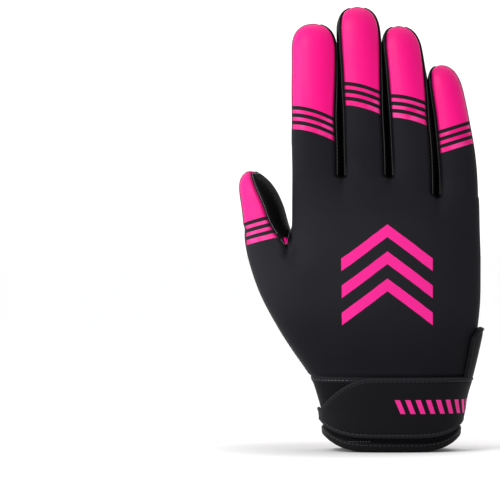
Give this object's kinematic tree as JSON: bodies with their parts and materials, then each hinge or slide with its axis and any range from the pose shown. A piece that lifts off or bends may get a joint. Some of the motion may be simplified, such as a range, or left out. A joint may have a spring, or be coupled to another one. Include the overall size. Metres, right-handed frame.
{
  "type": "football receiver glove",
  "caption": "Right-hand sport glove with a knit back, a coated grip palm, stretch strips between the fingers and a strap that closes over the wrist.",
  "frame": {"origin": "middle of the wrist opening, level with the lowest point of the hem", "axes": "+Z from the wrist to the fingertips, +Y from the back of the hand to the palm, +X from the thumb's side to the little finger's"},
  "size_m": [0.1242, 0.0491, 0.2261],
  "materials": {
    "back_cloth": "matt black knit, with pink printed fingertips and stripes",
    "palm_grip": "gloss black grip coating, with a pink print",
    "stretch_gusset": "black stretch cloth with a slight sheen",
    "cuff_cloth": "matt black padded knit",
    "binding_tape": "black woven tape, stitched",
    "strap_cloth": "black textured strap with a bound, stitched edge"
  },
  "bodies": {
    "root": {"back_panel": "back_cloth", "palm_panel": "palm_grip", "gusset_index_middle": "stretch_gusset", "gusset_middle_ring": "stretch_gusset", "gusset_ring_little": "stretch_gusset", "gusset_thumb": "stretch_gusset", "wrist_cuff": "cuff_cloth", "hem_binding": "binding_tape", "strap": "strap_cloth", "side_tab": "strap_cloth"}
  },
  "joints": []
}
